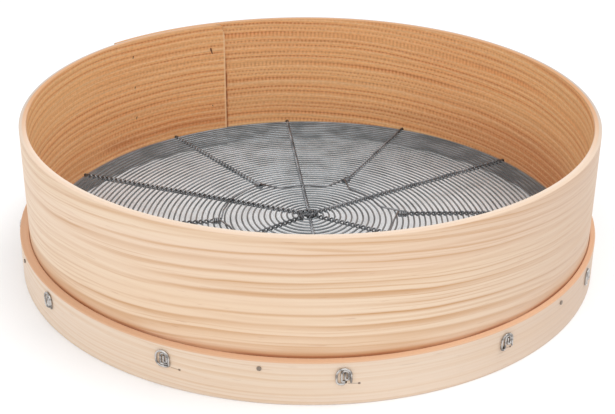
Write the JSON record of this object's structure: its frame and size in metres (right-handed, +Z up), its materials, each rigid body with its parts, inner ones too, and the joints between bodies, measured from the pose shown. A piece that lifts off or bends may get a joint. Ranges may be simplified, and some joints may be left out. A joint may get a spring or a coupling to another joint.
{
  "type": "sieve",
  "caption": "Round bentwood sieve: a lapped wooden hoop with a nailed foot band and a crowned spiral wire screen bound by radial wires near its base.",
  "frame": {"origin": "centre of the base, on the surface that the foot band and the rim hoop stand on", "axes": "+Z up along the hoop axis; -Y towards the front of the picture, +X to its right"},
  "size_m": [0.4152, 0.4152, 0.109],
  "materials": {
    "rim_wood": "bare planed softwood strip with tan grain bands, deeper orange inside",
    "band_wood": "bare planed softwood strip, paler than the rim",
    "spiral_steel": "bright drawn steel wire",
    "rib_steel": "dull grey steel wire",
    "nail_steel": "dark bare steel nail"
  },
  "bodies": {
    "root": {"rim_hoop": "rim_wood", "foot_band": "band_wood", "spiral_wire_1": "spiral_steel", "spiral_wire_2": "spiral_steel", "spiral_wire_3": "spiral_steel", "long_rib_wire_1": "rib_steel", "long_rib_wire_2": "rib_steel", "long_rib_wire_3": "rib_steel", "long_rib_wire_4": "rib_steel", "long_rib_wire_5": "rib_steel", "long_rib_wire_6": "rib_steel", "short_rib_wire_1": "rib_steel", "short_rib_wire_2": "rib_steel", "short_rib_wire_3": "rib_steel", "short_rib_wire_4": "rib_steel", "short_rib_wire_5": "rib_steel", "short_rib_wire_6": "rib_steel", "foot_nail_1": "nail_steel", "foot_nail_2": "nail_steel", "foot_nail_3": "nail_steel", "foot_nail_4": "nail_steel", "foot_nail_5": "nail_steel", "foot_nail_6": "nail_steel", "rim_lap_nail_1": "nail_steel", "rim_lap_nail_2": "nail_steel", "rim_lap_nail_3": "nail_steel", "rim_lap_nail_4": "nail_steel", "rim_lap_nail_5": "nail_steel", "band_lap_nail_1": "nail_steel", "band_lap_nail_2": "nail_steel"}
  },
  "joints": []
}
